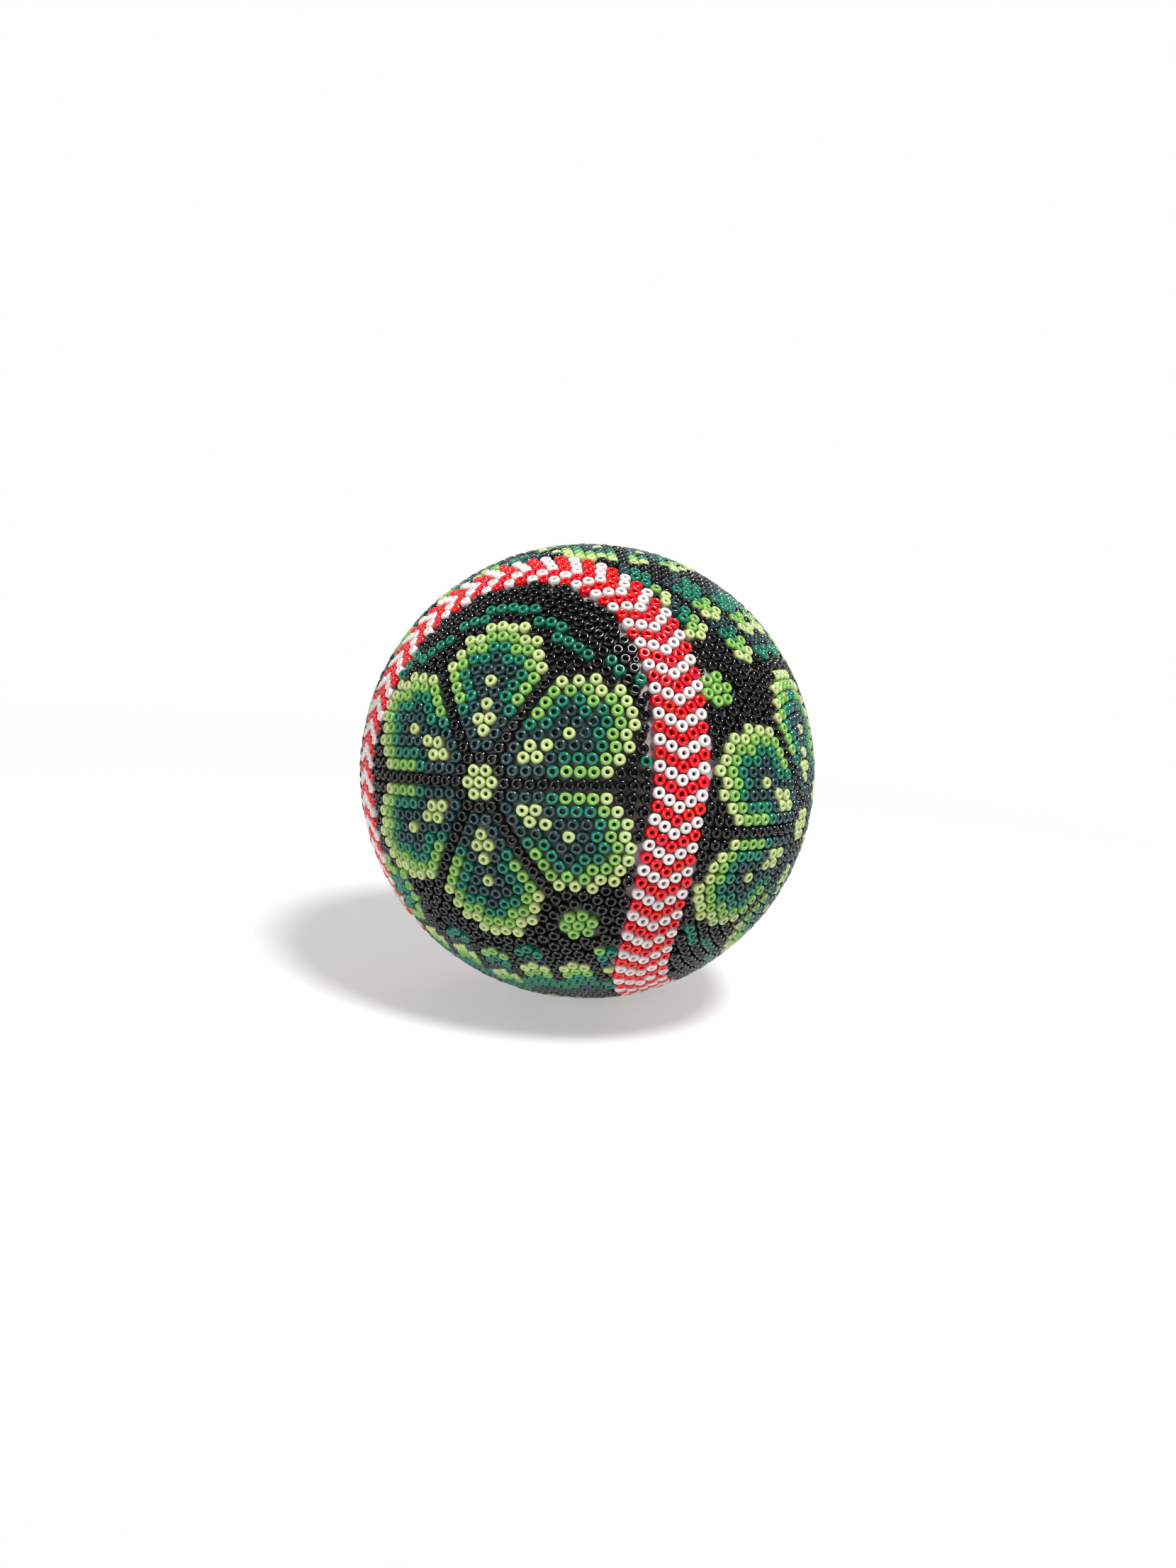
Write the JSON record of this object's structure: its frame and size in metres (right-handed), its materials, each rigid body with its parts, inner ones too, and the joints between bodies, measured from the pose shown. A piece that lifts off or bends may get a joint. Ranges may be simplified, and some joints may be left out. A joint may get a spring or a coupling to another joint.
{
  "type": "beaded baseball",
  "caption": "Baseball covered in glass seed beads: green flowers on black panels, with a red and white chevron band along the seam.",
  "frame": {"origin": "the ball's centre", "axes": "+Z through the middle of the upper cover panel's waist, -Z through the lower panel's; the upper panel's lobes lie in the vertical plane at azimuth -45 and 135 degrees, the lower panel's at 45 and 225 degrees"},
  "size_m": [0.0796, 0.0796, 0.0796],
  "materials": {
    "cork": "pressed cork granules, matt",
    "black_rubber": "smooth moulded black rubber",
    "red_rubber": "smooth moulded red rubber",
    "grey_wool": "tightly wound grey wool yarn",
    "white_wool": "tightly wound white wool yarn",
    "white_yarn": "fine white cotton and polyester yarn",
    "leather": "white tanned leather, smooth",
    "red_thread": "waxed red cotton thread",
    "beeswax": "soft matt beeswax and resin, pinkish grey",
    "red_glass": "glossy opaque red glass",
    "white_glass": "glossy opaque white glass",
    "black_glass": "glossy opaque black glass",
    "slate_glass": "glossy opaque dark slate-teal glass",
    "emerald_glass": "glossy opaque emerald glass",
    "lime_glass": "glossy opaque lime green glass",
    "pale_glass": "glossy opaque pale yellow-green glass"
  },
  "bodies": {
    "root": {"cork_core": "cork", "rubber_shell_left": "black_rubber", "rubber_shell_right": "black_rubber", "rubber_washer": "red_rubber", "rubber_cover": "red_rubber", "wool_winding_inner": "grey_wool", "wool_winding_middle": "white_wool", "wool_winding_outer": "grey_wool", "finishing_winding": "white_yarn", "leather_cover_top": "leather", "leather_cover_base": "leather", "stitch_thread_top": "red_thread", "stitch_thread_base": "red_thread", "wax_layer": "beeswax", "pole_beads_top": "pale_glass", "pole_beads_base": "pale_glass", "red_beads_1": "red_glass", "red_beads_2": "red_glass", "red_beads_3": "red_glass", "red_beads_4": "red_glass", "white_beads_1": "white_glass", "white_beads_2": "white_glass", "white_beads_3": "white_glass", "white_beads_4": "white_glass", "black_beads_1": "black_glass", "black_beads_2": "black_glass", "black_beads_3": "black_glass", "black_beads_4": "black_glass", "slate_beads_1": "slate_glass", "slate_beads_2": "slate_glass", "slate_beads_3": "slate_glass", "slate_beads_4": "slate_glass", "emerald_beads_1": "emerald_glass", "emerald_beads_2": "emerald_glass", "emerald_beads_3": "emerald_glass", "emerald_beads_4": "emerald_glass", "lime_beads_1": "lime_glass", "lime_beads_2": "lime_glass", "lime_beads_3": "lime_glass", "lime_beads_4": "lime_glass", "pale_beads_1": "pale_glass", "pale_beads_2": "pale_glass", "pale_beads_3": "pale_glass", "pale_beads_4": "pale_glass"}
  },
  "joints": []
}
